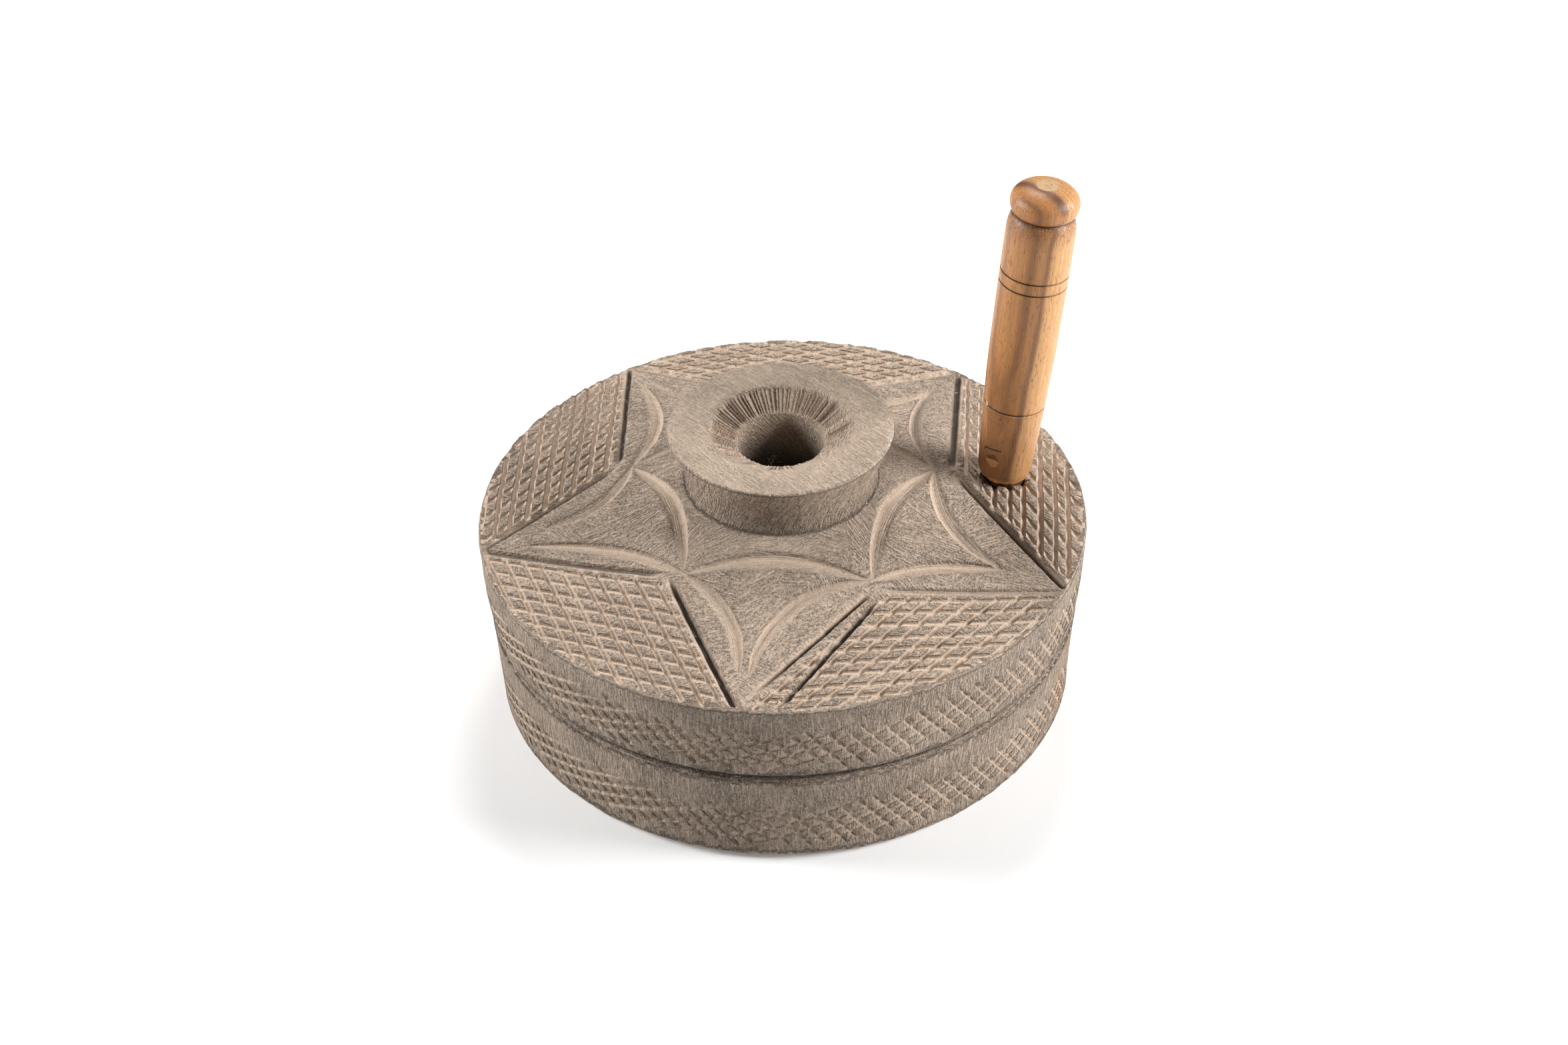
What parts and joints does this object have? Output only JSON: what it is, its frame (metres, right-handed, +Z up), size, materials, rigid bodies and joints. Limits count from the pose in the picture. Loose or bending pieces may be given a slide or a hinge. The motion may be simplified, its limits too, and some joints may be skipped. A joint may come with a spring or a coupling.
{
  "type": "rotary hand quern",
  "caption": "Round carved stone hand quern: a runner stone with a star, raised hub and wooden handle turns on a plain-topped bedstone.",
  "frame": {"origin": "centre of the bedstone's flat underside, on the turning axis", "axes": "+Z up along the turning axis; +X to the handle's side; -Y is the front seen in the picture"},
  "size_m": [0.32, 0.32, 0.283],
  "materials": {
    "runner": "matt, tooled",
    "bedstone": "matt, tooled",
    "wood": "smooth turned, bare"
  },
  "bodies": {
    "base": {"bedstone": "bedstone"},
    "runner": {"runner_stone": "runner", "handle": "wood"}
  },
  "joints": [
    {"name": "runner_turn", "type": "hinge", "parent": "base", "child": "runner", "pos_m": [0, 0, 0.0589], "axis": [0, 0, 1], "continuous": true}
  ]
}
